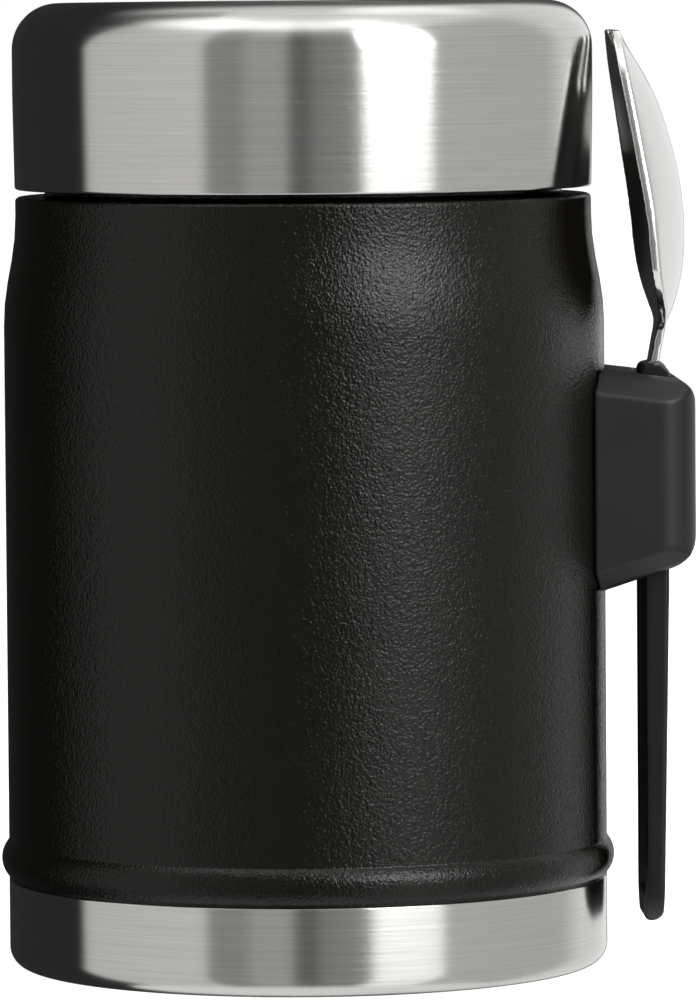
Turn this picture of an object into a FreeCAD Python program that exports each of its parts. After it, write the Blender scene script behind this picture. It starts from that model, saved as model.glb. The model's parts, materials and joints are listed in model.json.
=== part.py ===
import FreeCAD, Part
import math
import os

# Insulated food jar with a folding spork in a side holder. Lengths are in millimetres and angles in degrees.
# The origin is the centre of the base, on the surface that the jar stands on. Z is up and the holder is at +X.

# Jar, outside
body_radius = 44.2
paint_edge_z = 13.15
bead_span = 5.2
bead_reach = 1.07
bead_flank_angle = 42.0
bead_foot_round = 0.4
neck_band_radius = 42.37
shoulder_z = 113.6
shoulder_round = 0.7
flare_low_drop = 15.7
flare_high_drop = 6.1
flare_round = 35.0
body_wall = 0.6
base_round = 3.0
base_inner_round = 1.0
base_recess = 2.4
base_recess_radius = 35.5
base_spigot_height = 6.0
base_spigot_drop = 1.2

# Jar, mouth and cavity
mouth_radius = 35.0
neck_radius = 38.0
neck_height = 15.3
lip_round = 1.2
cavity_radius = 36.5
cavity_floor_z = 12.0
cavity_floor_round = 9.0
cavity_neck_low_drop = 10.6
cavity_neck_high_drop = 5.6
cavity_neck_round = 12.0
vessel_wall = 0.5
vessel_rim_reach = 2.4

# Thread between jar and lid, right hand, two starts
thread_lead = 8.0
thread_starts = 2
thread_turns = 0.75
thread_height = 0.9
thread_root_width = 2.0
thread_crest_width = 1.0
thread_rise = 4.4
thread_sink = 0.15
thread_running_gap = 0.5
thread_overlap = 0.6

# Sealed inner pieces
foil_thickness = 0.2
foil_gap = 0.1
foil_low_z = 24.0
foil_top_drop = 3.0
getter_radius = 4.0
getter_height = 2.5
getter_offset = 18.0
clip_thickness = 0.4
clip_width = 4.0
clip_gap = 0.02
dimple_radius = 5.0
dimple_depth = 1.6
evacuation_hole_radius = 0.8
seal_radius = 2.5
seal_height = 1.2
disc_radius = 30.0
disc_thickness = 0.8
disc_edge_round = 0.25

# Lid
lid_radius = 42.65
lid_foot_radius = 42.43
lid_headroom = 13.1
lid_straight_drop = 13.5
lid_top_round = 6.8
lid_foot_round = 0.45
lid_foot_reach = 1.1
lid_gap = 1.1
lid_wall = 0.5
liner_wall = 1.6
liner_ceiling_gap = 1.0
liner_corner = 0.8
liner_flange = 1.5
liner_fit = 0.05
plug_gap = 0.8
plug_depth = 18.0
plug_round = 2.5
foam_gap = 0.1
gasket_width = 3.0
gasket_inset = 0.3

# Holder block on the side of the jar
holder_reach = 12.8
holder_root_depth = 4.2
holder_width = 29.6
holder_top_z = 87.8
holder_bottom_z = 55.7
holder_top_slope = 7.0
holder_bottom_slope = 18.0
holder_top_round = 3.9
holder_bottom_round = 5.5
holder_corner_round = 5.3
holder_bevel = 3.4
holder_soft_edge = 0.8
holder_crown_round = 3.0
body_fit = 0.05
core_wall = 1.4
core_end_cover = 2.6
plate_thickness = 0.8
plate_width = 16.0
plate_height = 22.0

# Spork handle
handle_gap = 5.25
handle_depth = 3.7
handle_tip_depth = 2.8
handle_width = 17.5
handle_low_z = 6.1
handle_wall = 1.5
handle_end_round = 6.5
handle_inner_end_round = 1.0
handle_outer_end_round = 1.7
handle_floor = 4.0
handle_soft_edge = 0.5
slot_gap = 0.3
knuckle_gap = 5.15
knuckle_depth = 4.45
knuckle_width = 12.0
knuckle_seat = 3.8
knuckle_rise = 1.3
knuckle_inner_round = 1.2
knuckle_outer_round = 2.3
handle_shoulder_rise = 1.0
pocket_drop = 7.2

# Spork hinge and head
pivot_drop = 0.6
pin_radius = 0.9
pin_cover = 0.8
pin_press_gap = 0.02
pin_running_gap = 0.05
tang_half_width = 3.5
tang_barrel_radius = 1.7
clevis_gap = 0.35
barrel_gap = 0.35
washer_thickness = 0.3
washer_radius = 1.65
spring_thickness = 0.25
spring_width = 5.0
spring_length = 10.0
spring_tab = 1.9
steel_thickness = 1.4
neck_root_inset = 0.3

# Bowl of the spork from its neck to its tip: rise above the pivot, then rim and back of the bowl
# as offsets from the pivot along X, then half width
bowl_stations = (
    (7.4, 0.3, 1.9, 4.2),
    (8.1, 0.2, 2.2, 7.2),
    (9.3, -0.1, 2.75, 10.2),
    (11.0, -0.55, 3.3, 12.9),
    (13.0, -1.05, 3.85, 15.1),
    (15.8, -1.6, 4.35, 17.0),
    (19.8, -2.0, 4.6, 18.0),
    (23.8, -2.4, 4.45, 17.9),
    (27.8, -3.0, 4.0, 17.1),
    (31.8, -3.7, 3.2, 16.1),
    (36.8, -4.5, 1.75, 14.8),
    (41.8, -5.35, -0.05, 13.4),
    (45.8, -6.0, -2.45, 11.8),
    (48.8, -6.4, -4.35, 9.6),
    (50.3, -6.6, -5.1, 7.6),
)
tine_count = 3
tine_notch_depth = 9.0
tine_notch_width = 2.2

# Longer than any piece, for cuts that go right through, and a step past a face for cuts that end there
cut_length = 200.0
cut_step = 1.0
edge_tolerance = 0.01


def at(x, y, z):
    return FreeCAD.Vector(x, y, z)


UP = at(0, 0, 1)
ALONG_Y = at(0, 1, 0)
ALONG_X = at(1, 0, 0)
CENTRE = at(0, 0, 0)

# Places that follow from the sizes above
plate_back_x = body_radius + body_fit
bead_low_z = paint_edge_z + bead_foot_round
flare_low_z = shoulder_z - flare_low_drop
flare_high_z = shoulder_z - flare_high_drop
lip_z = shoulder_z + neck_height
cavity_neck_low_z = shoulder_z - cavity_neck_low_drop
cavity_neck_high_z = shoulder_z - cavity_neck_high_drop
thread_low_z = shoulder_z + thread_rise
foil_high_z = cavity_neck_low_z - foil_top_drop
lid_top_z = lip_z + lid_headroom
lid_straight_z = lid_top_z - lid_straight_drop
vessel_rim_z = lip_z + vessel_wall
lid_foot_z = shoulder_z + lid_gap
liner_foot_z = lid_foot_z + lid_wall
liner_ceiling_z = vessel_rim_z + liner_ceiling_gap
liner_bore_radius = neck_radius + thread_height + thread_running_gap
plug_radius = mouth_radius - plug_gap
plug_floor_z = liner_ceiling_z - plug_depth
liner_ridge_radius = neck_radius + thread_height - thread_overlap
pivot_z = holder_top_z - pivot_drop
holder_face_x = body_radius + holder_reach
holder_inner_x = body_radius - holder_root_depth
handle_inner_x = body_radius + handle_gap
handle_outer_x = handle_inner_x + handle_depth
handle_web_x = handle_outer_x - handle_wall
knuckle_inner_x = body_radius + knuckle_gap
knuckle_outer_x = knuckle_inner_x + knuckle_depth
knuckle_low_z = pivot_z - knuckle_seat
knuckle_top_z = pivot_z + knuckle_rise
handle_shoulder_z = knuckle_low_z + handle_shoulder_rise
pocket_top_z = pivot_z - pocket_drop
pivot_x = (knuckle_inner_x + knuckle_outer_x) / 2.0
neck_root_x = pivot_x - neck_root_inset
clevis_half_width = tang_half_width + clevis_gap
clevis_floor_z = pivot_z - tang_barrel_radius - barrel_gap
pin_half_length = knuckle_width / 2.0 - pin_cover


def add_line(edges, start, end):
    """Add a straight edge, unless its ends meet."""
    if (end - start).Length > 1e-4:
        edges.append(Part.LineSegment(start, end).toShape())


def rounded_edges(corners):
    """Edges through (x, z, radius) corners in the XZ plane: straights joined by tangent arcs."""
    points = [at(x, 0, z) for x, z, radius in corners]
    edges = []
    start = points[0]
    for before, here, after, corner in zip(points, points[1:], points[2:], corners[1:]):
        radius = corner[2]
        if radius <= 0:
            add_line(edges, start, here)
            start = here
            continue
        to_before = (before - here).normalize()
        to_after = (after - here).normalize()
        half_angle = to_before.getAngle(to_after) / 2.0
        reach = radius / math.tan(half_angle)
        arc_start = here + to_before * reach
        arc_end = here + to_after * reach
        middle = here + (to_before + to_after).normalize() * (radius / math.sin(half_angle) - radius)
        add_line(edges, start, arc_start)
        edges.append(Part.Arc(arc_start, middle, arc_end).toShape())
        start = arc_end
    add_line(edges, start, points[-1])
    return edges


def offset_corners(corners, distance):
    """The same path moved to its left by a distance, with each corner's radius to match."""
    normals = []
    for (x0, z0, _), (x1, z1, _) in zip(corners, corners[1:]):
        length = math.hypot(x1 - x0, z1 - z0)
        normals.append(((z0 - z1) / length, (x1 - x0) / length))
    moved = [(corners[0][0] + normals[0][0] * distance, corners[0][1] + normals[0][1] * distance, 0)]
    for corner, first, second in zip(corners[1:-1], normals, normals[1:]):
        dot = first[0] * second[0] + first[1] * second[1]
        scale = distance / (1.0 + dot)
        turn = first[0] * second[1] - first[1] * second[0]
        radius = corner[2] - distance if turn > 0 else corner[2] + distance
        if corner[2] <= 0:
            radius = 0
        x = corner[0] + (first[0] + second[0]) * scale
        z = corner[1] + (first[1] + second[1]) * scale
        moved.append((x, z, max(radius, 0)))
    last = normals[-1]
    moved.append((corners[-1][0] + last[0] * distance, corners[-1][1] + last[1] * distance, 0))
    return moved


def closed_face(edges):
    return Part.Face(Part.Wire(Part.__sortEdges__(edges)))


def turned(edges):
    """Solid of revolution about Z of a closed outline in the XZ plane."""
    return closed_face(edges).revolve(CENTRE, UP, 360)


def turned_wall(corners, thickness):
    """A turned sheet: the path, and the same path moved left by the thickness."""
    inner = offset_corners(corners, thickness)
    outer_edges = rounded_edges(corners)
    inner_edges = rounded_edges(inner)
    ends = []
    add_line(ends, at(corners[0][0], 0, corners[0][1]), at(inner[0][0], 0, inner[0][1]))
    add_line(ends, at(corners[-1][0], 0, corners[-1][1]), at(inner[-1][0], 0, inner[-1][1]))
    return turned(outer_edges + inner_edges + ends)


def turned_outline(corners):
    """A turned solid from a closed outline of (x, z, radius) corners, whose first corner is sharp."""
    return turned(rounded_edges(corners + [corners[0]]))


def ring(inner_radius, outer_radius, low_z, height):
    outer = Part.makeCylinder(outer_radius, height, at(0, 0, low_z))
    return outer.cut(Part.makeCylinder(inner_radius, height, at(0, 0, low_z)))


def box(low, high):
    size = high - low
    return Part.makeBox(size.x, size.y, size.z, low)


def thread_ridges(root_radius, crest_radius, low_z):
    """Helical ridges, one for each start, between a root buried in the wall and a free crest."""
    inward = crest_radius < root_radius
    buried = root_radius + (thread_sink if inward else -thread_sink)
    ridges = []
    for start in range(thread_starts):
        height = thread_lead * thread_turns
        spine = Part.Wire(Part.makeHelix(thread_lead, height, root_radius).Edges)
        profile = Part.makePolygon([
            at(buried, 0, -thread_root_width / 2.0),
            at(crest_radius, 0, -thread_crest_width / 2.0),
            at(crest_radius, 0, thread_crest_width / 2.0),
            at(buried, 0, thread_root_width / 2.0),
            at(buried, 0, -thread_root_width / 2.0),
        ])
        sweep = Part.BRepOffsetAPI.MakePipeShell(spine)
        sweep.setAuxiliarySpine(Part.Wire(Part.makeHelix(thread_lead, height, root_radius * 2).Edges), True, False)
        sweep.add(profile)
        sweep.build()
        sweep.makeSolid()
        ridge = sweep.shape()
        ridge.rotate(CENTRE, UP, 360.0 * start / thread_starts)
        ridge.translate(at(0, 0, low_z))
        ridges.append(ridge)
    return ridges


def make_outer_body():
    """Painted steel wall: bead, flared shoulder, threaded neck and rolled lip."""
    flank = math.radians(bead_flank_angle)
    half_span = bead_span / 2.0
    peak = half_span * math.tan(flank)
    crown = (peak - bead_reach) / (1.0 / math.cos(flank) - 1.0)
    wall = turned_wall([
        (body_radius, paint_edge_z, 0),
        (body_radius, bead_low_z, bead_foot_round),
        (body_radius + peak, bead_low_z + half_span, crown),
        (body_radius, bead_low_z + bead_span, bead_foot_round),
        (body_radius, flare_low_z, flare_round),
        (neck_band_radius, flare_high_z, flare_round),
        (neck_band_radius, shoulder_z, shoulder_round),
        (neck_radius, shoulder_z, shoulder_round),
        (neck_radius, lip_z, lip_round),
        (mouth_radius + vessel_wall + foil_gap, lip_z, 0),
    ], body_wall)
    return wall.fuse(thread_ridges(neck_radius, neck_radius + thread_height, thread_low_z))


def make_base_cup():
    """Bare steel cup: base band, foot, raised floor with a dimple, and a spigot inside the body."""
    spigot_radius = body_radius - body_wall - body_fit
    cup = turned_wall([
        (0, base_recess, 0),
        (base_recess_radius, base_recess, base_inner_round),
        (base_recess_radius, 0, base_inner_round),
        (body_radius, 0, base_round),
        (body_radius, paint_edge_z, 0),
    ], body_wall)
    spigot_low_z = paint_edge_z - base_spigot_drop
    spigot = ring(spigot_radius - body_wall, spigot_radius, spigot_low_z, base_spigot_height)
    seat = ring(spigot_radius - body_wall, body_radius - body_wall / 2.0, spigot_low_z, body_wall)
    boss = Part.makeCylinder(dimple_radius + body_wall, dimple_depth + body_wall, at(0, 0, base_recess))
    cup = cup.fuse([spigot, seat, boss])
    cup = cup.cut(Part.makeCylinder(dimple_radius, dimple_depth, at(0, 0, base_recess)))
    return cup.cut(Part.makeCylinder(evacuation_hole_radius, base_spigot_height, at(0, 0, base_recess)))


def make_bottom_disc():
    """Disc over the dimple, flat against the raised floor."""
    disc = Part.makeCylinder(disc_radius, disc_thickness, at(0, 0, base_recess - disc_thickness))
    middle_z = base_recess - disc_thickness / 2.0
    return disc.makeFillet(disc_edge_round, [e for e in disc.Edges if e.BoundBox.ZMax < middle_z])


def make_evacuation_seal():
    """Braze bead that closes the evacuation hole at the top of the dimple."""
    top = base_recess + dimple_depth
    bead = Part.makeSphere(seal_radius, at(0, 0, top + seal_radius - seal_height))
    return bead.common(Part.makeCylinder(seal_radius, seal_height, at(0, 0, top - seal_height)))


def make_inner_vessel():
    """Bare steel cavity with a flange that lies on the lip of the outer wall."""
    return turned_wall([
        (0, cavity_floor_z, 0),
        (cavity_radius, cavity_floor_z, cavity_floor_round),
        (cavity_radius, cavity_neck_low_z, cavity_neck_round),
        (mouth_radius, cavity_neck_high_z, cavity_neck_round),
        (mouth_radius, vessel_rim_z, vessel_wall),
        (mouth_radius + vessel_rim_reach, vessel_rim_z, 0),
    ], -vessel_wall)


def make_radiation_foil():
    inner = cavity_radius + vessel_wall + foil_gap
    return ring(inner, inner + foil_thickness, foil_low_z, foil_high_z - foil_low_z)


def make_getter():
    low_z = cavity_floor_z - vessel_wall - clip_thickness - getter_height
    return Part.makeCylinder(getter_radius, getter_height, at(getter_offset, 0, low_z))


def make_getter_clip():
    """Strip on the underside of the cavity that holds the getter by its two turned-down ends."""
    top_z = cavity_floor_z - vessel_wall
    low_z = top_z - clip_thickness - getter_height
    reach = getter_radius + clip_thickness
    half_width = clip_width / 2.0
    strip = box(at(getter_offset - reach, -half_width, low_z), at(getter_offset + reach, half_width, top_z))
    hollow = Part.makeCylinder(getter_radius + clip_gap, getter_height, at(getter_offset, 0, low_z))
    return strip.cut(hollow)


def make_lid_shell():
    """Brushed steel cap with a rounded top edge and a foot turned inwards."""
    return turned_wall([
        (lid_foot_radius - lid_foot_reach, lid_foot_z, 0),
        (lid_foot_radius, lid_foot_z, lid_foot_round),
        (lid_radius, lid_straight_z, lid_top_z - lid_foot_z),
        (lid_radius, lid_top_z, lid_top_round),
        (0, lid_top_z, 0),
    ], lid_wall)


def make_lid_liner():
    """Moulded liner: threaded skirt on a flange, ceiling over the lip, and a plug in the mouth."""
    wall = turned_wall([
        (liner_bore_radius, liner_foot_z, 0),
        (liner_bore_radius, liner_ceiling_z, liner_corner),
        (plug_radius, liner_ceiling_z, liner_corner),
        (plug_radius, plug_floor_z, plug_round),
        (0, plug_floor_z, 0),
    ], -liner_wall)
    flange_radius = lid_foot_radius - lid_wall - liner_fit
    flange = ring(liner_bore_radius, flange_radius, liner_foot_z, liner_flange)
    ridge_z = thread_low_z - thread_lead / thread_starts / 2.0
    ridges = thread_ridges(liner_bore_radius, liner_ridge_radius, ridge_z)
    return wall.fuse([flange] + ridges)


def make_lid_foam():
    """Foam that fills the plug and the space under the top of the cap."""
    plug_inside = plug_radius - liner_wall - foam_gap
    cap_inside = liner_bore_radius + liner_wall
    low_z = plug_floor_z + liner_wall
    seat_z = liner_ceiling_z + liner_wall
    top_z = lid_top_z - lid_wall
    return turned_outline([
        (0, low_z, 0),
        (plug_inside, low_z, plug_round - liner_wall + foam_gap),
        (plug_inside, seat_z, 0),
        (cap_inside, seat_z, 0),
        (cap_inside, top_z, lid_top_round),
        (0, top_z, 0),
    ])


def make_lid_gasket():
    """Silicone ring between the rim and the ceiling of the liner."""
    inner = mouth_radius + gasket_inset
    gasket = ring(inner, inner + gasket_width, vessel_rim_z, liner_ceiling_gap)
    return gasket


def handle_blank(grow):
    """Bar that the handle is cut from, made larger on its sides by grow for the slot it slides in."""
    half = handle_width / 2.0 + grow
    low = at(handle_inner_x - grow, -half, handle_low_z)
    high = at(handle_outer_x + grow, half, holder_top_z + cut_step)
    return box(low, high)


def holder_slot():
    """Way through the holder for the handle and, at its top, for the knuckle."""
    slot = handle_blank(slot_gap)
    half = knuckle_width / 2.0 + slot_gap
    low = at(knuckle_inner_x - slot_gap, -half, knuckle_low_z - slot_gap)
    high = at(knuckle_outer_x + slot_gap, half, holder_top_z + cut_step)
    return slot.fuse(box(low, high))


def make_holder_block():
    """Soft moulded block with bevelled edges, moulded round the core."""
    half = holder_width / 2.0
    top_fall = math.tan(math.radians(holder_top_slope))
    low_climb = math.tan(math.radians(holder_bottom_slope))
    top_face_z = holder_top_z - holder_reach * top_fall
    low_face_z = holder_bottom_z + holder_reach * low_climb
    top_back_z = holder_top_z + holder_root_depth * top_fall
    low_back_z = holder_bottom_z - holder_root_depth * low_climb
    side = closed_face(rounded_edges([
        (holder_inner_x, low_back_z, 0),
        (holder_face_x, low_face_z, holder_bottom_round),
        (holder_face_x, top_face_z, holder_top_round),
        (holder_inner_x, top_back_z, 0),
        (holder_inner_x, low_back_z, 0),
    ]))
    side.translate(at(0, -half, 0))
    block = side.extrude(at(0, holder_width, 0))
    plan = box(at(holder_inner_x, -half, 0), at(holder_face_x, half, cut_length))
    outer = [e for e in plan.Edges if e.BoundBox.XMin > holder_inner_x + cut_step]
    uprights = [e for e in outer if e.BoundBox.ZLength > holder_reach]
    block = block.common(plan.makeFillet(holder_corner_round, uprights))
    for side_sign in (-1, 1):
        for back_z, face_z, up_sign in ((top_back_z, top_face_z, 1), (low_back_z, low_face_z, -1)):
            along = at(holder_face_x - holder_inner_x + cut_step, 0, 0)
            along.z = (face_z - back_z) / (holder_face_x - holder_inner_x) * along.x
            block = block.cut(bevel_face(side_sign, up_sign, back_z).extrude(along))
    block = soften(block)
    block = block.cut(Part.makeCylinder(plate_back_x, cut_length)).cut(plate_blank(body_fit))
    return block.cut(core_envelope()).cut(holder_slot())


def bevel_face(side_sign, up_sign, back_z):
    """Section of the waste at one long edge of the block: a bevel that turns softly into the top or bottom."""
    half = holder_width / 2.0
    turn = math.radians(45)
    reach = holder_crown_round * math.tan(turn / 2.0)

    def spot(inwards, down):
        return at(holder_inner_x, side_sign * (half - inwards), back_z - up_sign * down)

    arc_start = spot(holder_bevel - reach * math.cos(turn), reach * math.sin(turn))
    arc_end = spot(holder_bevel + reach, 0)
    middle = spot(
        holder_bevel + reach - holder_crown_round * math.sin(turn / 2.0),
        holder_crown_round * (1 - math.cos(turn / 2.0)),
    )
    far = holder_bevel * 2
    corners = [arc_end, spot(holder_bevel + reach, -far), spot(-far, -far), spot(-far, holder_bevel)]
    corners += [spot(0, holder_bevel), arc_start]
    edges = [Part.LineSegment(start, end).toShape() for start, end in zip(corners, corners[1:])]
    return closed_face(edges + [Part.Arc(arc_start, middle, arc_end).toShape()])


def soften(block):
    """Round the edges between the sides of the block and their bevels."""
    half = holder_width / 2.0
    crisp = []
    for edge in block.Edges:
        ends = edge.BoundBox
        on_side = abs(abs(edge.valueAt(edge.FirstParameter).y) - half) < edge_tolerance
        if on_side and ends.YLength < edge_tolerance and ends.XLength > holder_root_depth:
            crisp.append(edge)
    return block.makeFillet(holder_soft_edge, crisp)


def core_envelope():
    """Outside of the rigid core, which stops short of the block's top and bottom."""
    half = handle_width / 2.0 + slot_gap + core_wall
    low_z = holder_bottom_z + core_end_cover * 2
    high_z = holder_top_z - core_end_cover * 2
    front_x = handle_outer_x + slot_gap + core_wall
    core = box(at(holder_inner_x, -half, low_z), at(front_x, half, high_z))
    return core.cut(Part.makeCylinder(plate_back_x + plate_thickness + body_fit, cut_length))


def make_holder_core():
    """Rigid sleeve that the handle slides in, seated on the plate."""
    return core_envelope().cut(holder_slot())


def plate_blank(grow):
    """Curved plate on the wall of the jar, with its edges grown for the recess it lies in."""
    middle_z = (holder_top_z + holder_bottom_z) / 2.0
    low = at(holder_inner_x, -plate_width / 2.0 - grow, middle_z - plate_height / 2.0 - grow)
    high = at(holder_face_x, plate_width / 2.0 + grow, middle_z + plate_height / 2.0 + grow)
    plate = box(low, high).common(Part.makeCylinder(plate_back_x + plate_thickness + grow, cut_length))
    return plate.cut(Part.makeCylinder(plate_back_x, cut_length))


def make_holder_plate():
    """Steel plate fixed to the wall of the jar, which the core is held on."""
    return plate_blank(0)


def cross_pin(radius, half_length):
    """Cylinder along Y through the spork's pivot."""
    return Part.makeCylinder(radius, half_length * 2, at(pivot_x, -half_length, pivot_z), ALONG_Y)


def make_spork_handle():
    """Moulded channel, open towards the jar, with a closed lower end and a clevis at the top."""
    half = handle_width / 2.0
    tip_x = handle_inner_x + handle_tip_depth
    side = closed_face(rounded_edges([
        (handle_inner_x, handle_shoulder_z, 0),
        (handle_inner_x, handle_low_z, handle_inner_end_round),
        (tip_x, handle_low_z, handle_outer_end_round),
        (handle_outer_x, holder_bottom_z, 0),
        (handle_outer_x, handle_shoulder_z, 0),
        (handle_inner_x, handle_shoulder_z, 0),
    ]))
    side.translate(at(0, -half, 0))
    bar = side.extrude(at(0, handle_width, 0))
    front = box(at(0, -half, handle_low_z - handle_soft_edge), at(cut_length, half, cut_length))
    corners = [e for e in front.Edges if e.BoundBox.ZMax < handle_low_z and e.BoundBox.XLength > handle_depth]
    bar = bar.common(front.makeFillet(handle_end_round, corners))
    long_edges = [e for e in bar.Edges if e.BoundBox.ZLength > handle_width]
    bar = bar.makeFillet(handle_soft_edge, long_edges)
    floor_z = handle_low_z + handle_floor
    pocket = closed_face(rounded_edges([
        (handle_inner_x - cut_step, floor_z, 0),
        (tip_x - handle_wall, floor_z, 0),
        (handle_web_x, holder_bottom_z, 0),
        (handle_web_x, pocket_top_z, 0),
        (handle_inner_x - cut_step, pocket_top_z, 0),
        (handle_inner_x - cut_step, floor_z, 0),
    ]))
    pocket.translate(at(0, handle_wall - half, 0))
    bar = bar.cut(pocket.extrude(at(0, handle_width - handle_wall * 2, 0)))
    knuckle = closed_face(rounded_edges([
        (knuckle_inner_x, knuckle_low_z, 0),
        (knuckle_outer_x, knuckle_low_z, 0),
        (knuckle_outer_x, knuckle_top_z, knuckle_outer_round),
        (knuckle_inner_x, knuckle_top_z, knuckle_inner_round),
        (knuckle_inner_x, knuckle_low_z, 0),
    ]))
    knuckle.translate(at(0, -knuckle_width / 2.0, 0))
    bar = bar.fuse(knuckle.extrude(at(0, knuckle_width, 0)))
    spring_room = box(
        at(knuckle_inner_x - cut_step, -clevis_half_width, pocket_top_z - cut_step),
        at(handle_web_x, clevis_half_width, clevis_floor_z + cut_step),
    )
    clevis = box(
        at(knuckle_inner_x - cut_step, -clevis_half_width, clevis_floor_z),
        at(knuckle_outer_x + cut_step, clevis_half_width, knuckle_top_z + cut_step),
    )
    pin_hole = cross_pin(pin_radius + pin_press_gap, pin_half_length + pin_press_gap)
    return bar.cut(spring_room).cut(clevis).cut(pin_hole)


def make_pivot_pin():
    """Pin moulded into both ears, whose outer sides cover its ends."""
    return cross_pin(pin_radius, pin_half_length)


def make_pivot_washers():
    """Thin washers between the ears and the tang."""
    play = (clevis_gap - washer_thickness) / 2.0
    washers = []
    for y in (-tang_half_width - play - washer_thickness, tang_half_width + play):
        disc = Part.makeCylinder(washer_radius, washer_thickness, at(pivot_x, y, pivot_z), ALONG_Y)
        washers.append(disc.cut(cross_pin(pin_radius + pin_running_gap, handle_width)))
    return Part.makeCompound(washers)


def make_detent_spring():
    """Leaf on the web of the handle, turned under the barrel to hold the head where it is put."""
    half = spring_width / 2.0
    top_z = clevis_floor_z - pin_press_gap
    leaf = box(at(handle_web_x - spring_thickness, -half, top_z - spring_length), at(handle_web_x, half, top_z))
    tab = box(at(handle_web_x - spring_tab, -half, top_z - spring_thickness), at(handle_web_x, half, top_z))
    return leaf.fuse(tab).removeSplitter()


def bowl_section(z, rim_x, back_x, half_width):
    """Crescent of sheet steel across the bowl at one height."""
    inner_half = half_width - steel_thickness
    low_out = at(rim_x, -half_width, z)
    high_out = at(rim_x, half_width, z)
    low_in = at(rim_x, -inner_half, z)
    high_in = at(rim_x, inner_half, z)
    return Part.Wire([
        Part.Arc(low_out, at(back_x, 0, z), high_out).toShape(),
        Part.LineSegment(high_out, high_in).toShape(),
        Part.Arc(high_in, at(back_x - steel_thickness, 0, z), low_in).toShape(),
        Part.LineSegment(low_in, low_out).toShape(),
    ])


def neck_section(x, z, half_width):
    """Flat strip of sheet steel across the neck at one height."""
    half_steel = steel_thickness / 2.0
    return Part.makePolygon([
        at(x - half_steel, -half_width, z),
        at(x + half_steel, -half_width, z),
        at(x + half_steel, half_width, z),
        at(x - half_steel, half_width, z),
        at(x - half_steel, -half_width, z),
    ])


def make_spork_head():
    """Polished bowl with short tines, drawn down into a neck and a barrel round the pivot pin."""
    sections = [
        bowl_section(pivot_z + rise, pivot_x + rim, pivot_x + back, half_width)
        for rise, rim, back, half_width in bowl_stations
    ]
    bowl = Part.makeLoft(sections, True, False)
    tip_z = pivot_z + bowl_stations[-1][0]
    tip_half = bowl_stations[-1][3]
    tine_width = (tip_half * 2 - tine_notch_width * (tine_count - 1)) / tine_count
    for gap in range(tine_count - 1):
        y = -tip_half + (tine_width + tine_notch_width) * (gap + 1) - tine_notch_width / 2.0
        notch_z = tip_z - tine_notch_depth + tine_notch_width / 2.0
        half = tine_notch_width / 2.0
        slot = box(at(0, y - half, notch_z), at(cut_length, y + half, cut_length))
        bowl = bowl.cut(slot).cut(Part.makeCylinder(half, cut_length, at(0, y, notch_z), ALONG_X))
    first_rise, first_rim, first_back, first_half = bowl_stations[0]
    first_z = pivot_z + first_rise
    top_x = pivot_x + (first_rim + first_back) / 2.0
    clear_z = knuckle_top_z + clevis_gap
    clear_x = neck_root_x + (top_x - neck_root_x) * (clear_z - pivot_z) / first_rise
    neck = Part.makeLoft([
        neck_section(neck_root_x, pivot_z, tang_half_width),
        neck_section(clear_x, clear_z, tang_half_width),
        neck_section(top_x, first_z, first_half),
    ], True, True)
    head = bowl.fuse([neck, cross_pin(tang_barrel_radius, tang_half_width)])
    return head.cut(cross_pin(pin_radius + pin_running_gap, handle_width))


PARTS = {
    "outer_body": make_outer_body,
    "base_cup": make_base_cup,
    "bottom_disc": make_bottom_disc,
    "evacuation_seal": make_evacuation_seal,
    "inner_vessel": make_inner_vessel,
    "radiation_foil": make_radiation_foil,
    "getter": make_getter,
    "getter_clip": make_getter_clip,
    "lid_shell": make_lid_shell,
    "lid_liner": make_lid_liner,
    "lid_foam": make_lid_foam,
    "lid_gasket": make_lid_gasket,
    "holder_block": make_holder_block,
    "holder_core": make_holder_core,
    "holder_plate": make_holder_plate,
    "spork_handle": make_spork_handle,
    "pivot_pin": make_pivot_pin,
    "pivot_washers": make_pivot_washers,
    "detent_spring": make_detent_spring,
    "spork_head": make_spork_head,
}

os.makedirs("parts", exist_ok=True)
for name, make in PARTS.items():
    shape = make()
    shape.exportStep("parts/" + name + ".step")
    print(name, shape.isValid(), len(shape.Solids), round(shape.Volume, 1))
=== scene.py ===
import bisect
import json
import math

import bmesh
import bpy
from mathutils import Matrix, Vector


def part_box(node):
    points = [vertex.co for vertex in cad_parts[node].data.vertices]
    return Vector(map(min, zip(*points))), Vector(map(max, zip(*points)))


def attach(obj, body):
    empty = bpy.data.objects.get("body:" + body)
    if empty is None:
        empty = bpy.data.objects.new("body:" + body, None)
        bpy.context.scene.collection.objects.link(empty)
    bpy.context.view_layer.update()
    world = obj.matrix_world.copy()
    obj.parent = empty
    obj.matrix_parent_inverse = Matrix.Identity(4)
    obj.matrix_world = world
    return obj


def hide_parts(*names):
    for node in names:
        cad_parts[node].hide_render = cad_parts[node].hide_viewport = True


bl_info = {
    "name": "Insulated food jar",
    "version": (1, 0, 0),
    "blender": (4, 5, 0),
    "location": "3D View > Sidebar > Food Jar",
    "description": "Dresses a food jar with a steel lid and a folding spork",
    "category": "Object",
}

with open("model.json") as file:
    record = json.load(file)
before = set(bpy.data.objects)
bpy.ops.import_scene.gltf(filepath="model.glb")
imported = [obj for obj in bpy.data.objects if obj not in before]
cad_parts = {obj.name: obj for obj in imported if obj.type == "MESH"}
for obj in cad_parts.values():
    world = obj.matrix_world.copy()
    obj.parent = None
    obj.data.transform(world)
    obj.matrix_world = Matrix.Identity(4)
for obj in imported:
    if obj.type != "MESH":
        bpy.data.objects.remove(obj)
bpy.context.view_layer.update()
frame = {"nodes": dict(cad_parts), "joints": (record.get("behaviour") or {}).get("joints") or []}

MM = 0.001


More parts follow.
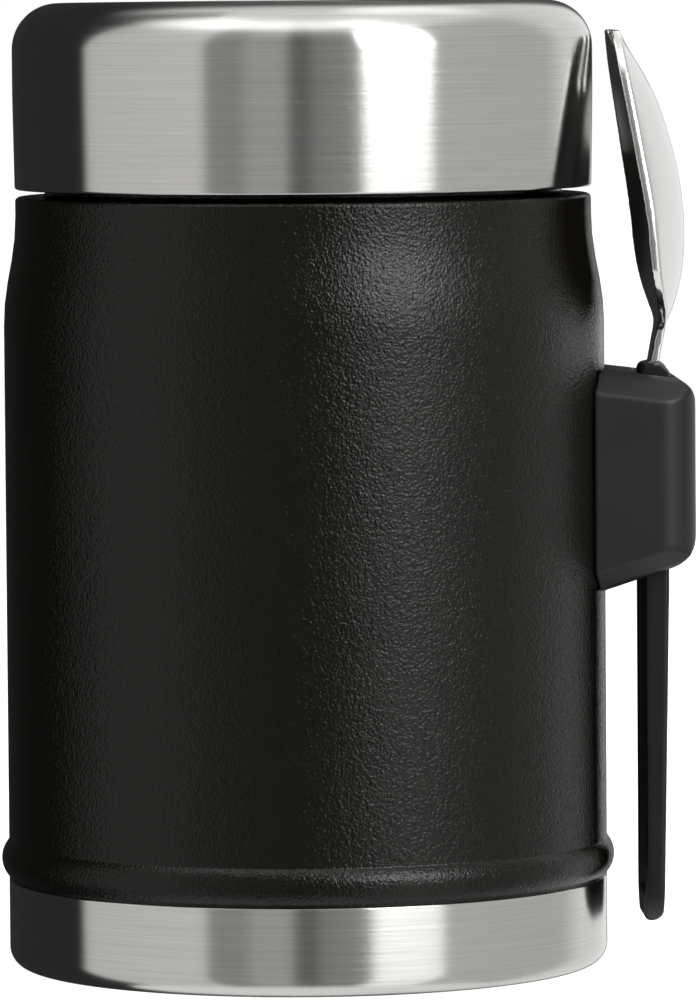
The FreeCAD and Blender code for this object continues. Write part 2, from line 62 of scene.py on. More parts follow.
def mm(node):
    """Lowest and highest corner of a node at rest, in millimetres."""
    low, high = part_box(node)
    return low / MM, high / MM


# Places read from the frame, in millimetres
body_low, body_high = mm("outer_body")
disc_low, disc_high = mm("bottom_disc")
cap_low, cap_high = mm("lid_shell")
gasket_low, gasket_high = mm("lid_gasket")
wall_radius = mm("base_cup")[1].x
rim_radius = mm("inner_vessel")[1].x
fold = next(joint for joint in frame["joints"] if joint["name"] == "spork_fold")
pivot = Vector(fold["pos_m"]) / MM

# Small sizes, in millimetres
BEAD_FOOT_ROUND = 0.4
SHOULDER_ROUND = 0.7
NECK_PAINT = 1.0
LIP_ROUND = 1.2
RECESS_RADIUS = 35.5
BASE_ROUND = 3.0
BASE_INNER_ROUND = 1.0
BAND_LINE = 0.25
DISC_EDGE_ROUND = 0.25
GASKET_ROUND = 0.3
GASKET_WIDTH = 3.0
BLANK_LOW = -0.4
BARREL_HALF = 3.5
BARREL_RADIUS = 1.7
BARREL_BORE = 0.95

# Voxel size in millimetres and smoothing steps of the pieces that are skinned again
HOLDER_SKIN = (0.3, 3)
HANDLE_SKIN = (0.3, 2)
HEAD_SKIN = (0.23, 10)
SKIN_SOFTENING = 0.5

# Fineness of the curves
ROUND_STEPS = 288
ARC_STEP = math.radians(6.0)
THREAD_STEPS = 96
NOTCH_STEPS = 12
BARREL_STEPS = 48
BOWL_STEPS = 12

# Distances in metres within which points merge, and angles over which an edge stays sharp
MERGE = 1e-7
CAD_MERGE = 1e-6
SHARP = math.radians(35.0)
CAD_SHARP = math.radians(30.0)

# Radius in millimetres under which an outline's point lies on the axis
ON_AXIS = 1e-6


class JarSettings(bpy.types.PropertyGroup):
    """Sizes of the jar's walls in millimetres, and their finishes."""

    band_radius: bpy.props.FloatProperty(
        name="Neck band radius", description="Radius above the flare, mm", default=42.37)
    flare_low: bpy.props.FloatProperty(
        name="Flare start", description="Height where the wall turns in, mm", default=97.9)
    flare_high: bpy.props.FloatProperty(
        name="Flare end", description="Height where the neck band starts, mm", default=107.5)
    flare_round: bpy.props.FloatProperty(
        name="Flare rounding", description="Radius, mm", default=35.0)
    shoulder: bpy.props.FloatProperty(
        name="Shoulder", description="Height of the shoulder, mm", default=113.6)
    neck_radius: bpy.props.FloatProperty(
        name="Neck radius", description="Outside of the neck, mm", default=38.0)
    sheet: bpy.props.FloatProperty(
        name="Sheet", description="Thickness of the outer wall, mm", default=0.6)
    bead_span: bpy.props.FloatProperty(
        name="Bead span", description="Height of the bead, mm", default=5.2)
    bead_flank: bpy.props.FloatProperty(
        name="Bead flank", description="Slope of the bead's sides", subtype="ANGLE",
        default=math.radians(42.0))
    paint: bpy.props.FloatVectorProperty(
        name="Paint", description="Powder coat", subtype="COLOR",
        default=(0.0026, 0.0021, 0.0007))
    pebble: bpy.props.FloatProperty(
        name="Pebble size", description="Grain of the powder coat, mm", default=0.4)
    steel: bpy.props.FloatVectorProperty(
        name="Steel", description="Brushed steel", subtype="COLOR", default=(0.6, 0.592, 0.572))


class LidSettings(bpy.types.PropertyGroup):
    """Sizes of the cap in millimetres."""

    foot_radius: bpy.props.FloatProperty(
        name="Foot radius", description="At the lower edge, mm", default=42.43)
    foot_reach: bpy.props.FloatProperty(
        name="Foot reach", description="Width of the turned foot, mm", default=1.1)
    straight_z: bpy.props.FloatProperty(
        name="Taper end", description="Height where the cap stops widening, mm", default=128.5)
    top_round: bpy.props.FloatProperty(
        name="Top rounding", description="Radius of the top edge, mm", default=6.8)
    foot_round: bpy.props.FloatProperty(
        name="Foot rounding", description="Radius of the foot, mm", default=0.45)
    sheet: bpy.props.FloatProperty(
        name="Sheet", description="Thickness of the steel, mm", default=0.5)


class ThreadSettings(bpy.types.PropertyGroup):
    """Thread on the neck, in millimetres."""

    lead: bpy.props.FloatProperty(
        name="Lead", description="Rise in one turn, mm", default=8.0)
    turns: bpy.props.FloatProperty(
        name="Turns", description="Length of each ridge in turns", default=0.75)
    starts: bpy.props.IntProperty(
        name="Starts", description="Number of ridges", default=2)
    low_z: bpy.props.FloatProperty(
        name="Start height", description="Height of the first turn, mm", default=118.0)
    root: bpy.props.FloatProperty(
        name="Root width", description="Width at the wall, mm", default=2.0)
    crest: bpy.props.FloatProperty(
        name="Crest width", description="Width at the crest, mm", default=1.0)
    height: bpy.props.FloatProperty(
        name="Ridge height", description="Reach from the wall, mm", default=0.9)


class SporkSettings(bpy.types.PropertyGroup):
    """Sizes in millimetres and colours of the spork."""

    sheet: bpy.props.FloatProperty(
        name="Sheet", description="Thickness of the steel, mm", default=1.4)
    notch_depth: bpy.props.FloatProperty(
        name="Notch depth", description="Between the tines, mm", default=9.0)
    notch_width: bpy.props.FloatProperty(
        name="Notch width", description="Between the tines, mm", default=2.2)
    tines: bpy.props.IntProperty(
        name="Tines", description="Number of tines", default=3)
    mirror: bpy.props.FloatVectorProperty(
        name="Mirror", description="Polished steel", subtype="COLOR",
        default=(0.74, 0.735, 0.72))
    handle: bpy.props.FloatVectorProperty(
        name="Handle", description="Moulded handle", subtype="COLOR",
        default=(0.0035, 0.0035, 0.0035))


class StudioSettings(bpy.types.PropertyGroup):
    """Floor, light and camera."""

    sweep: bpy.props.FloatVectorProperty(
        name="Sweep", description="Floor", subtype="COLOR", default=(0.6, 0.6, 0.6))
    floor_glow: bpy.props.FloatProperty(
        name="Floor glow", description="Own light of the floor as the camera sees it",
        default=0.88)
    fill: bpy.props.FloatProperty(
        name="Fill", description="Light of the room on matt surfaces", default=0.25)
    view_turn: bpy.props.FloatProperty(
        name="View turn", description="Turn of the camera about the jar", subtype="ANGLE",
        default=math.radians(-1.3))


def feed(tree, socket, value):
    """Link a wire to a socket, or set the socket's own value."""
    if isinstance(value, Wire):
        tree.links.new(value.output, socket)
    elif socket.type == "RGBA":
        socket.default_value = (*value[:3], 1.0)
    else:
        socket.default_value = value


def add_node(tree, kind, settings=None, **sockets):
    """A node of a kind, with its settings set first and then the wires or values of its sockets."""
    node = tree.nodes.new(kind)
    for name, value in (settings or {}).items():
        if name == "stops":
            for element, (place, colour) in zip(node.color_ramp.elements, value):
                element.position = place
                element.color = (*colour, 1.0)
        else:
            setattr(node, name, value)
    for name, value in sockets.items():
        feed(tree, node.inputs[name.replace("_", " ")], value)
    return node


class Wire:
    """One output of a node; sums, products, quotients and powers of wires add Math nodes."""

    def __init__(self, tree, output):
        self.tree = tree
        self.output = output

    def maths(self, operation, first, second, clamp=False):
        node = add_node(self.tree, "ShaderNodeMath", {"operation": operation, "use_clamp": clamp})
        feed(self.tree, node.inputs[0], first)
        feed(self.tree, node.inputs[1], second)
        return Wire(self.tree, node.outputs[0])

    def __add__(self, other):
        return self.maths("ADD", self, other)

    def __radd__(self, other):
        return self.maths("ADD", other, self)

    def __sub__(self, other):
        return self.maths("SUBTRACT", self, other)

    def __rsub__(self, other):
        return self.maths("SUBTRACT", other, self)

    def __mul__(self, other):
        return self.maths("MULTIPLY", self, other)

    def __rmul__(self, other):
        return self.maths("MULTIPLY", other, self)

    def __truediv__(self, other):
        return self.maths("DIVIDE", self, other)

    def __rtruediv__(self, other):
        return self.maths("DIVIDE", other, self)

    def __pow__(self, other):
        return self.maths("POWER", self, other)

    def __rpow__(self, other):
        return self.maths("POWER", other, self)

    def clamped(self):
        """The value held between 0 and 1."""
        return self.maths("ADD", self, 0.0, clamp=True)


class Finish:
    """A material with one Principled shader and a short way to add nodes."""

    def __init__(self, name, **sockets):
        self.material = bpy.data.materials.new(name)
        self.material.use_nodes = True
        self.tree = self.material.node_tree
        self.shader = self.tree.nodes["Principled BSDF"]
        self.set(**sockets)

    def set(self, **sockets):
        """Give the shader's sockets wires or values."""
        for name, value in sockets.items():
            feed(self.tree, self.shader.inputs[name.replace("_", " ")], value)

    def node(self, kind, settings=None, **sockets):
        """The first output of a new node, as a wire."""
        return Wire(self.tree, add_node(self.tree, kind, settings, **sockets).outputs[0])

    def ramp(self, factor, *stops):
        """A colour ramp with two (place, colour) stops."""
        return self.node("ShaderNodeValToRGB", {"stops": stops}, Fac=factor)

    def parts(self, vector):
        """The three parts of a vector, as wires."""
        node = add_node(self.tree, "ShaderNodeSeparateXYZ", Vector=vector)
        return [Wire(self.tree, part) for part in node.outputs]

    def place(self):
        """Object coordinates in millimetres, as three wires."""
        where = add_node(self.tree, "ShaderNodeTexCoord").outputs["Object"]
        return [part * (1.0 / MM) for part in self.parts(Wire(self.tree, where))]

    def vector(self, x, y, z):
        return self.node("ShaderNodeCombineXYZ", X=x, Y=y, Z=z)

    def noise(self, vector, scale, detail=2.0, roughness=0.5):
        return self.node(
            "ShaderNodeTexNoise", Vector=vector, Scale=scale, Detail=detail, Roughness=roughness)

    def bump(self, height, strength, distance):
        return self.node("ShaderNodeBump", Height=height, Strength=strength, Distance=distance)


def shaded(colour, share):
    """A colour made darker or lighter by a factor."""
    return [min(part * share, 1.0) for part in colour]


# Paint: scales of its grain against the pebble size, scale of its clouds, depth in metres, least
# roughness and specular level
PEBBLE_SCALE = 0.8
FINE_SCALE = 1.1
LUMP_SCALE = 0.3
CLOUD_SCALE = 0.05
PAINT_DEPTH = 0.00011
PAINT_ROUGHNESS = 0.1
PAINT_SPECULAR = 0.28


def powder_paint(settings):
    """Black powder coat: a pebbled skin whose grains glint where they turn to the light."""
    finish = Finish("powder_paint", Specular_IOR_Level=PAINT_SPECULAR)
    where = finish.vector(*finish.place())
    pebble = finish.node(
        "ShaderNodeTexVoronoi", {"feature": "SMOOTH_F1"},
        Vector=where, Scale=PEBBLE_SCALE / settings.pebble, Smoothness=0.8, Randomness=1.0)
    fine = finish.noise(where, FINE_SCALE / settings.pebble, roughness=0.55)
    lumps = finish.noise(where, LUMP_SCALE / settings.pebble, detail=1.0)
    clouds = finish.noise(where, CLOUD_SCALE)
    relief = fine + lumps * 0.5 - pebble * 0.5
    finish.set(
        Base_Color=finish.ramp(
            clouds, (0.35, shaded(settings.paint, 0.9)), (0.65, shaded(settings.paint, 1.1))),
        Roughness=fine * 0.06 + clouds * 0.04 + PAINT_ROUGHNESS,
        Normal=finish.bump(relief, 1.0, PAINT_DEPTH),
    )
    return finish.material


# Brushed steel: how far lines and streaks wander round the axis, scales of streaks and smudges,
# how the lines on flat ends step with the radius, depth in metres, and the mean roughness that
# lines, streaks and smudges add
LINE_WANDER = 2.2
STREAK_WANDER = 1.4
STREAK_SCALE = 3.1
SMUDGE_SCALE = 0.06
END_STEP = 1.37
BRUSH_DEPTH = 0.00003
BRUSH_ROUGHNESS = 0.065
DRAWN_COLOUR = (0.5, 0.5, 0.49)


def brushed_steel(name, colour, line=0.05, strength=0.12, roughness=0.18):
    """Steel brushed round the axis: fine lines along the turning, on walls and flat ends alike."""
    finish = Finish(
        name, Base_Color=colour, Metallic=1.0, Anisotropic=0.95, Anisotropic_Rotation=0.25)
    x, y, z = finish.place()
    radius = (x * x + y * y) ** 0.5
    around = finish.node(
        "ShaderNodeVectorMath", {"operation": "NORMALIZE"}, Vector=finish.vector(x, y, 0.0))
    cos_a, sin_a, _ = finish.parts(around)
    level = z + radius * END_STEP
    lines = finish.node(
        "ShaderNodeTexNoise", {"noise_dimensions": "4D"}, W=0.0, Scale=1.0, Detail=1.0,
        Vector=finish.vector(cos_a * LINE_WANDER, sin_a * LINE_WANDER, level * (1.0 / line)))
    streak_place = finish.vector(
        cos_a * STREAK_WANDER, sin_a * STREAK_WANDER, level * STREAK_SCALE)
    streaks = finish.noise(streak_place, 1.0, roughness=0.6)
    smudge = finish.noise(finish.vector(x, y, z), SMUDGE_SCALE)
    finish.set(
        Base_Color=finish.ramp(
            lines * 0.55 + streaks * 0.45,
            (0.3, shaded(colour, 0.88)), (0.7, shaded(colour, 1.1))),
        Roughness=lines * 0.05 + streaks * 0.04 + smudge * 0.04 + (roughness - BRUSH_ROUGHNESS),
        Normal=finish.bump(lines, strength, BRUSH_DEPTH),
    )
    return finish.material


# Finishes that several pieces share, by name
SHARED = {}


def shared(name, make):
    """A shared finish, made the first time that it is asked for."""
    if name not in SHARED:
        SHARED[name] = make()
    return SHARED[name]


def lid_steel():
    """Steel of the lid and the base."""
    colour = bpy.context.scene.jar_settings.steel
    return shared("brushed", lambda: brushed_steel("brushed_steel", colour))


def drawn_steel():
    """Duller steel of the neck, the cavity and the small sheet pieces."""
    return shared("drawn", lambda: brushed_steel(
        "drawn_steel", DRAWN_COLOUR, line=0.15, strength=0.06, roughness=0.3))


# Polished steel: scales of its haze across and along the spork and of its wiping marks, and its
# least roughness
HAZE_SCALE = 0.5
HAZE_STRETCH = 0.25
MARKS_ACROSS = 6.0
MARKS_ALONG = 0.6
MIRROR_ROUGHNESS = 0.11


def mirror_steel(settings):
    """Polished steel with faint wiping marks."""
    finish = Finish("mirror_steel", Base_Color=settings.mirror, Metallic=1.0)
    x, y, z = finish.place()
    haze = finish.noise(
        finish.vector(x, y, z * HAZE_STRETCH), HAZE_SCALE, detail=4.0, roughness=0.6)
    marks = finish.noise(
        finish.vector(x * MARKS_ACROSS, y * MARKS_ACROSS, z * MARKS_ALONG), 1.0)
    finish.set(Roughness=haze * 0.05 + marks * 0.04 + MIRROR_ROUGHNESS)
    return finish.material


# Foil: colour, scale and depth in metres of its creases, and its least roughness
FOIL_COLOUR = (0.8, 0.8, 0.79)
CREASE_SCALE = 0.35
CREASE_DEPTH = 0.0008
FOIL_ROUGHNESS = 0.1


def crumpled_foil():
    """Bright foil with shallow creases."""
    finish = Finish("crumpled_foil", Base_Color=FOIL_COLOUR, Metallic=1.0)
    where = finish.vector(*finish.place())
    creases = finish.noise(where, CREASE_SCALE, detail=3.0, roughness=0.6)
    finish.set(
        Roughness=creases * 0.15 + FOIL_ROUGHNESS,
        Normal=finish.bump(creases, 0.5, CREASE_DEPTH),
    )
    return finish.material


# Moulded finishes: colour (the handle's is a setting), roughness, size of the grain in
# millimetres, strength of its relief, and the shader's constant sockets
MOULDED = {
    "getter_alloy": ((0.16, 0.16, 0.165), 0.6, 0.2, 0.5, {"Metallic": 0.6}),
    "braze": ((0.5, 0.4, 0.26), 0.35, 0.6, 0.2, {"Metallic": 1.0}),
    "liner_plastic": ((0.014, 0.014, 0.014), 0.45, 0.35, 0.12, {}),
    "silicone": ((0.35, 0.35, 0.34), 0.5, 0.35, 0.12, {}),
    "foam": ((0.75, 0.73, 0.66), 0.8, 0.8, 0.4, {}),
    "holder_rubber": ((0.008, 0.008, 0.01), 0.45, 0.25, 0.1, {"Specular_IOR_Level": 0.36}),
    "core_plastic": ((0.012, 0.012, 0.012), 0.5, 0.35, 0.12, {}),
    "handle_plastic": (None, 0.38, 0.3, 0.08, {"Specular_IOR_Level": 0.36}),
}
# Their bloom: scale and share of the colour; depth in metres of their grain, and the mean
# roughness that grain and bloom add
BLOOM_SCALE = 0.12
BLOOM_SHARE = 0.15
GRAIN_DEPTH = 0.0001
GRAIN_ROUGHNESS = 0.11


def moulded(name, given_colour=None):
    """Moulded plastic, rubber or foam with a fine grain and a slight bloom."""
    colour, roughness, grain, strength, constants = MOULDED[name]
    colour = given_colour or colour
    finish = Finish(name, **constants)
    where = finish.vector(*finish.place())
    fine = finish.noise(where, 1.0 / grain)
    bloom = finish.noise(where, BLOOM_SCALE, detail=3.0, roughness=0.55)
    finish.set(
        Base_Color=finish.ramp(
            bloom, (0.3, shaded(colour, 1.0 - BLOOM_SHARE)),
            (0.7, shaded(colour, 1.0 + BLOOM_SHARE))),
        Roughness=fine * 0.1 + bloom * 0.12 + (roughness - GRAIN_ROUGHNESS),
        Normal=finish.bump(fine, strength, GRAIN_DEPTH),
    )
    return finish.material


def rounded_path(corners):
    """Points through (radius, height, corner radius) corners, with the corners as arcs."""
    points = [Vector(corners[0][:2])]
    for before, here, after in zip(corners, corners[1:], corners[2:]):
        corner = Vector(here[:2])
        if here[2] <= 0:
            points.append(corner)
            continue
        back = (Vector(before[:2]) - corner).normalized()
        on = (Vector(after[:2]) - corner).normalized()
        half = back.angle(on) / 2.0
        centre = corner + (back + on).normalized() * (here[2] / math.sin(half))
        start = corner + back * (here[2] / math.tan(half)) - centre
        end = corner + on * (here[2] / math.tan(half)) - centre
        turn = start.angle_signed(end)
        steps = max(2, math.ceil(abs(turn) / ARC_STEP))
        for i in range(steps + 1):
            points.append(centre + Matrix.Rotation(-turn * i / steps, 2) @ start)
    points.append(Vector(corners[-1][:2]))
    return points


def new_piece(name, mesh, material, body, node):
    """A finished mesh as a piece that rides on a body and stands for a CAD node."""
    mesh.materials.clear()
    mesh.materials.append(material)
    piece = bpy.data.objects.new(name, mesh)
    bpy.context.scene.collection.objects.link(piece)
    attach(piece, body)
    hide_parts(node)


def finished_mesh(name, made, sharp=SHARP, turn_out=True):
    """Clean a bmesh, point its faces outwards, and shade it smooth but for its sharp edges."""
    bmesh.ops.remove_doubles(made, verts=made.verts, dist=MERGE)
    if turn_out:
        bmesh.ops.recalc_face_normals(made, faces=made.faces)
    for face in made.faces:
        face.smooth = True
    for edge in made.edges:
        if len(edge.link_faces) == 2 and edge.calc_face_angle(0.0) > sharp:
            edge.smooth = False
    mesh = bpy.data.meshes.new(name)
    made.to_mesh(mesh)
    made.free()
    return mesh


def turned_mesh(name, points):
    """A mesh turned round Z from a closed outline of (radius, height) points in millimetres."""
    made = bmesh.new()
    rings = []
    for point in points:
        if point.x < ON_AXIS:
            rings.append([made.verts.new((0.0, 0.0, point.y * MM))])
            continue
        ring = []
        for i in range(ROUND_STEPS):
            a = 2.0 * math.pi * i / ROUND_STEPS
            x, y = point.x * MM * math.cos(a), point.x * MM * math.sin(a)
            ring.append(made.verts.new((x, y, point.y * MM)))
        rings.append(ring)
    for low, high in zip(rings, rings[1:] + rings[:1]):
        if len(low) == 1 and len(high) == 1:
            continue
        for i in range(ROUND_STEPS):
            j = (i + 1) % ROUND_STEPS
            if len(low) == 1:
                made.faces.new((low[0], high[j], high[i]))
            elif len(high) == 1:
                made.faces.new((low[i], low[j], high[0]))
            else:
                made.faces.new((low[i], low[j], high[j], high[i]))
    return finished_mesh(name, made)


def merged_copy(node):
    """A CAD node's mesh, joined up and shaded smooth but for its sharp edges."""
    made = bmesh.new()
    made.from_mesh(frame["nodes"][node].data)
    bmesh.ops.remove_doubles(made, verts=made.verts, dist=CAD_MERGE)
    bmesh.ops.dissolve_degenerate(made, edges=made.edges, dist=MERGE)
    return finished_mesh(node + "_joined", made, CAD_SHARP, turn_out=False)


def evaluated(piece):
    """The mesh that an object's modifiers make; the object goes."""
    depsgraph = bpy.context.evaluated_depsgraph_get()
    mesh = bpy.data.meshes.new_from_object(piece.evaluated_get(depsgraph))
    bpy.data.objects.remove(piece)
    return mesh


def dense_skin(mesh, voxel_mm, smooth_steps):
    """A closed mesh skinned again with small even faces, which rounds its edges softly."""
    piece = bpy.data.objects.new("skin", mesh)
    bpy.context.scene.collection.objects.link(piece)
    remesh = piece.modifiers.new("remesh", "REMESH")
    remesh.mode = "VOXEL"
    remesh.voxel_size = voxel_mm * MM
    soften = piece.modifiers.new("soften", "SMOOTH")
    soften.factor = SKIN_SOFTENING
    soften.iterations = smooth_steps
    skinned = evaluated(piece)
    for face in skinned.polygons:
        face.use_smooth = True
    return skinned


def joined(name, *meshes):
    """One mesh out of several."""
    made = bmesh.new()
    for mesh in meshes:
        made.from_mesh(mesh)
    mesh = bpy.data.meshes.new(name)
    made.to_mesh(mesh)
    made.free()
    return mesh


def dress(material, *nodes):
    """Give CAD nodes that stay as they are a material."""
    for node in nodes:
        frame["nodes"][node].data.materials.clear()
        frame["nodes"][node].data.materials.append(material)


def thread_tree():
    """Geometry nodes that wind ridges of one section round the Z axis, evenly spaced."""
    tree = bpy.data.node_groups.new("thread_ridges", "GeometryNodeTree")
    face = tree.interface
    for name, kind in (
            ("Radius", "Float"), ("Lead", "Float"), ("Turns", "Float"), ("Starts", "Int"),
            ("Low", "Float"), ("Root", "Float"), ("Crest", "Float"), ("Height", "Float"),
            ("Material", "Material")):
        face.new_socket(name=name, in_out="INPUT", socket_type="NodeSocket" + kind)
    face.new_socket(name="Geometry", in_out="OUTPUT", socket_type="NodeSocketGeometry")
    inputs = add_node(tree, "NodeGroupInput").outputs
    given = {socket.name: Wire(tree, socket) for socket in inputs}

    def add(kind, settings=None, **sockets):
        return Wire(tree, add_node(tree, kind, settings, **sockets).outputs[0])

    spiral = add(
        "GeometryNodeCurveSpiral", Resolution=THREAD_STEPS, Rotations=given["Turns"],
        Start_Radius=given["Radius"], End_Radius=given["Radius"],
        Height=given["Lead"] * given["Turns"], Reverse=True)
    upright = add("GeometryNodeSetCurveNormal", {"mode": "Z_UP"}, Curve=spiral)
    section = add(
        "GeometryNodeCurvePrimitiveQuadrilateral", {"mode": "TRAPEZOID"},
        Height=given["Height"], Bottom_Width=given["Root"], Top_Width=given["Crest"], Offset=0.0)
    outward = add(
        "GeometryNodeTransform", Geometry=section, Rotation=(0.0, 0.0, math.radians(-90.0)))
    ridge = add("GeometryNodeCurveToMesh", Curve=upright, Profile_Curve=outward, Fill_Caps=True)
    spots = add("GeometryNodeMeshLine", Count=given["Starts"], Offset=(0.0, 0.0, 0.0))
    copies = add("GeometryNodeInstanceOnPoints", Points=spots, Instance=ridge)
    bearing = add("GeometryNodeInputIndex") * (2.0 * math.pi / given["Starts"])
    spin = add("ShaderNodeCombineXYZ", Z=bearing)
    lift = add("ShaderNodeCombineXYZ", Z=given["Low"])
    turned = add("GeometryNodeRotateInstances", Instances=copies, Rotation=spin)
    raised = add("GeometryNodeTranslateInstances", Instances=turned, Translation=lift)
    real = add("GeometryNodeRealizeInstances", Geometry=raised)
    finish = add("GeometryNodeSetMaterial", Geometry=real, Material=given["Material"])
    add_node(tree, "NodeGroupOutput", Geometry=finish)
    return tree


def thread_mesh(thread, radius, material):
    """Ridges of a thread with its roots on a radius, as one mesh."""
    piece = bpy.data.objects.new("ridges", bpy.data.meshes.new("ridges"))
    bpy.context.scene.collection.objects.link(piece)
    modifier = piece.modifiers.new("thread", "NODES")
    modifier.node_group = thread_tree()
    values = {
        "Radius": (radius + thread.height / 2.0) * MM, "Lead": thread.lead * MM,
        "Turns": thread.turns, "Starts": thread.starts, "Low": thread.low_z * MM,
        "Root": thread.root * MM, "Crest": thread.crest * MM, "Height": thread.height * MM,
        "Material": material,
    }
    for item in modifier.node_group.interface.items_tree:
        if item.item_type == "SOCKET" and item.in_out == "INPUT":
            modifier[item.identifier] = values[item.name]
    return evaluated(piece)


class JAR_OT_wall(bpy.types.Operator):
    """Build the painted wall, the bare neck and its thread, the base and the cavity"""

    bl_idname = "jar.wall"
    bl_label = "Wall and base"

    def execute(self, context):
        jar = context.scene.jar_settings
        thread = context.scene.thread_settings
        steel = lid_steel()
        drawn = drawn_steel()
        new_piece(
            "painted_wall", self.wall(jar), powder_paint(jar), "jar", "outer_body")
        new_piece(
            "bare_neck", self.neck(jar, thread, drawn), drawn, "jar",
            "outer_body")
        new_piece("base_band", self.base(jar), steel, "jar", "base_cup")
        new_piece("base_disc", self.disc(), steel, "jar", "bottom_disc")
        new_piece(
            "cavity", merged_copy("inner_vessel"), drawn, "jar", "inner_vessel")
        dress(drawn, "getter_clip", "holder_plate")
        dress(crumpled_foil(), "radiation_foil")
        dress(moulded("getter_alloy"), "getter")
        dress(moulded("braze"), "evacuation_seal")
        return {"FINISHED"}

    def wall(self, jar):
        """Painted sheet from its lower edge over the bead and the flare to the shoulder."""
        reach = body_high.y - wall_radius
        half_span = jar.bead_span / 2.0
        bead_low = body_low.z + BEAD_FOOT_ROUND
        peak = half_span * math.tan(jar.bead_flank)
        crown = (peak - reach) / (1.0 / math.cos(jar.bead_flank) - 1.0)
        outside = [
            (wall_radius, body_low.z, 0.0),
            (wall_radius, bead_low, BEAD_FOOT_ROUND),
            (wall_radius + peak, bead_low + half_span, crown),
            (wall_radius, bead_low + jar.bead_span, BEAD_FOOT_ROUND),
            (wall_radius, jar.flare_low, jar.flare_round),
            (jar.band_radius, jar.flare_high, jar.flare_round),
            (jar.band_radius, jar.shoulder, SHOULDER_ROUND),
            (jar.neck_radius, jar.shoulder, SHOULDER_ROUND),
            (jar.neck_radius, jar.shoulder + NECK_PAINT, 0.0),
        ]
        inside = [
            (jar.neck_radius - jar.sheet, jar.shoulder + NECK_PAINT, 0.0),
            (jar.neck_radius - jar.sheet, jar.shoulder - jar.sheet, SHOULDER_ROUND),
            (jar.band_radius - jar.sheet, jar.shoulder - jar.sheet, 0.0),
            (jar.band_radius - jar.sheet, jar.flare_high, jar.flare_round),
            (wall_radius - jar.sheet, jar.flare_low, jar.flare_round),
            (wall_radius - jar.sheet, body_low.z, 0.0),
        ]
        return turned_mesh("painted_wall", rounded_path(outside) + rounded_path(inside))

    def neck(self, jar, thread, material):
        """Bare neck above the shoulder, up to its rolled lip, with its thread."""
        low = jar.shoulder + NECK_PAINT
        inner = jar.neck_radius - jar.sheet
        path = [
            (inner, low, 0.0),
            (jar.neck_radius, low, 0.0),
            (jar.neck_radius, body_high.z, LIP_ROUND),
            (rim_radius, body_high.z, 0.0),
            (rim_radius, body_high.z - jar.sheet, 0.0),
            (inner, body_high.z - jar.sheet, 0.0),
            (inner, low, 0.0),
        ]
        tube = turned_mesh("neck", rounded_path(path)[:-1])
        return joined("bare_neck", tube, thread_mesh(thread, jar.neck_radius, material))

    def base(self, jar):
        """Bare cup: band, rounded foot and raised floor, which lies on the disc."""
        recess = disc_high.z
        outside = [
            (0.0, recess, 0.0),
            (RECESS_RADIUS, recess, BASE_INNER_ROUND),
            (RECESS_RADIUS, 0.0, BASE_INNER_ROUND),
            (wall_radius, 0.0, BASE_ROUND),
            (wall_radius, body_low.z - BAND_LINE, BAND_LINE),
            (wall_radius - BAND_LINE, body_low.z, 0.0),
        ]
        inside = [
            (wall_radius - jar.sheet, body_low.z, 0.0),
            (wall_radius - jar.sheet, jar.sheet, BASE_ROUND),
            (RECESS_RADIUS + jar.sheet, jar.sheet, BASE_INNER_ROUND),
            (RECESS_RADIUS + jar.sheet, recess + jar.sheet, BASE_INNER_ROUND),
            (0.0, recess + jar.sheet, 0.0),
        ]
        return turned_mesh("base_band", rounded_path(outside) + rounded_path(inside))

    def disc(self):
        """Disc under the base with a softly turned edge."""
        return turned_mesh("base_disc", rounded_path([
            (0.0, disc_high.z, 0.0),
            (disc_high.x, disc_high.z, 0.0),
            (disc_high.x, disc_low.z, DISC_EDGE_ROUND),
            (0.0, disc_low.z, 0.0),
        ]))


class JAR_OT_lid(bpy.types.Operator):
    """Build the cap, its liner and its gasket"""

    bl_idname = "jar.lid"
    bl_label = "Lid"

    def execute(self, context):
        lid = context.scene.lid_settings
        liner = merged_copy("lid_liner")
        new_piece("cap", self.cap(lid), lid_steel(), "lid", "lid_shell")
        new_piece(
            "cap_liner", liner, moulded("liner_plastic"), "lid", "lid_liner")
        new_piece(
            "gasket", self.gasket(), moulded("silicone"), "lid_seal", "lid_gasket")
        dress(moulded("foam"), "lid_foam")
        return {"FINISHED"}

    def cap(self, lid):
        """Cap of sheet steel: turned-in foot, slight taper, rounded top edge and flat top."""
        top = cap_high.z
        foot = cap_low.z
        outside = [
            (lid.foot_radius - lid.foot_reach, foot, 0.0),
            (lid.foot_radius, foot, lid.foot_round),
            (cap_high.y, lid.straight_z, top - foot),
            (cap_high.y, top, lid.top_round),
            (0.0, top, 0.0),
        ]
        inside = [
            (0.0, top - lid.sheet, 0.0),
            (cap_high.y - lid.sheet, top - lid.sheet, lid.top_round - lid.sheet),
            (cap_high.y - lid.sheet, lid.straight_z, top - foot),
            (lid.foot_radius - lid.sheet, foot + lid.sheet, 0.0),
            (lid.foot_radius - lid.foot_reach, foot + lid.sheet, 0.0),
        ]
        return turned_mesh("cap", rounded_path(outside) + rounded_path(inside))

    def gasket(self):
        """Soft ring with rounded corners."""
        outer = gasket_high.x
        inner = outer - GASKET_WIDTH
        middle = (inner + outer) / 2.0
        path = [
            (middle, gasket_low.z, 0.0),
            (outer, gasket_low.z, GASKET_ROUND),
            (outer, gasket_high.z, GASKET_ROUND),
            (inner, gasket_high.z, GASKET_ROUND),
            (inner, gasket_low.z, GASKET_ROUND),
            (middle, gasket_low.z, 0.0),
        ]
        return turned_mesh("gasket", rounded_path(path)[:-1])


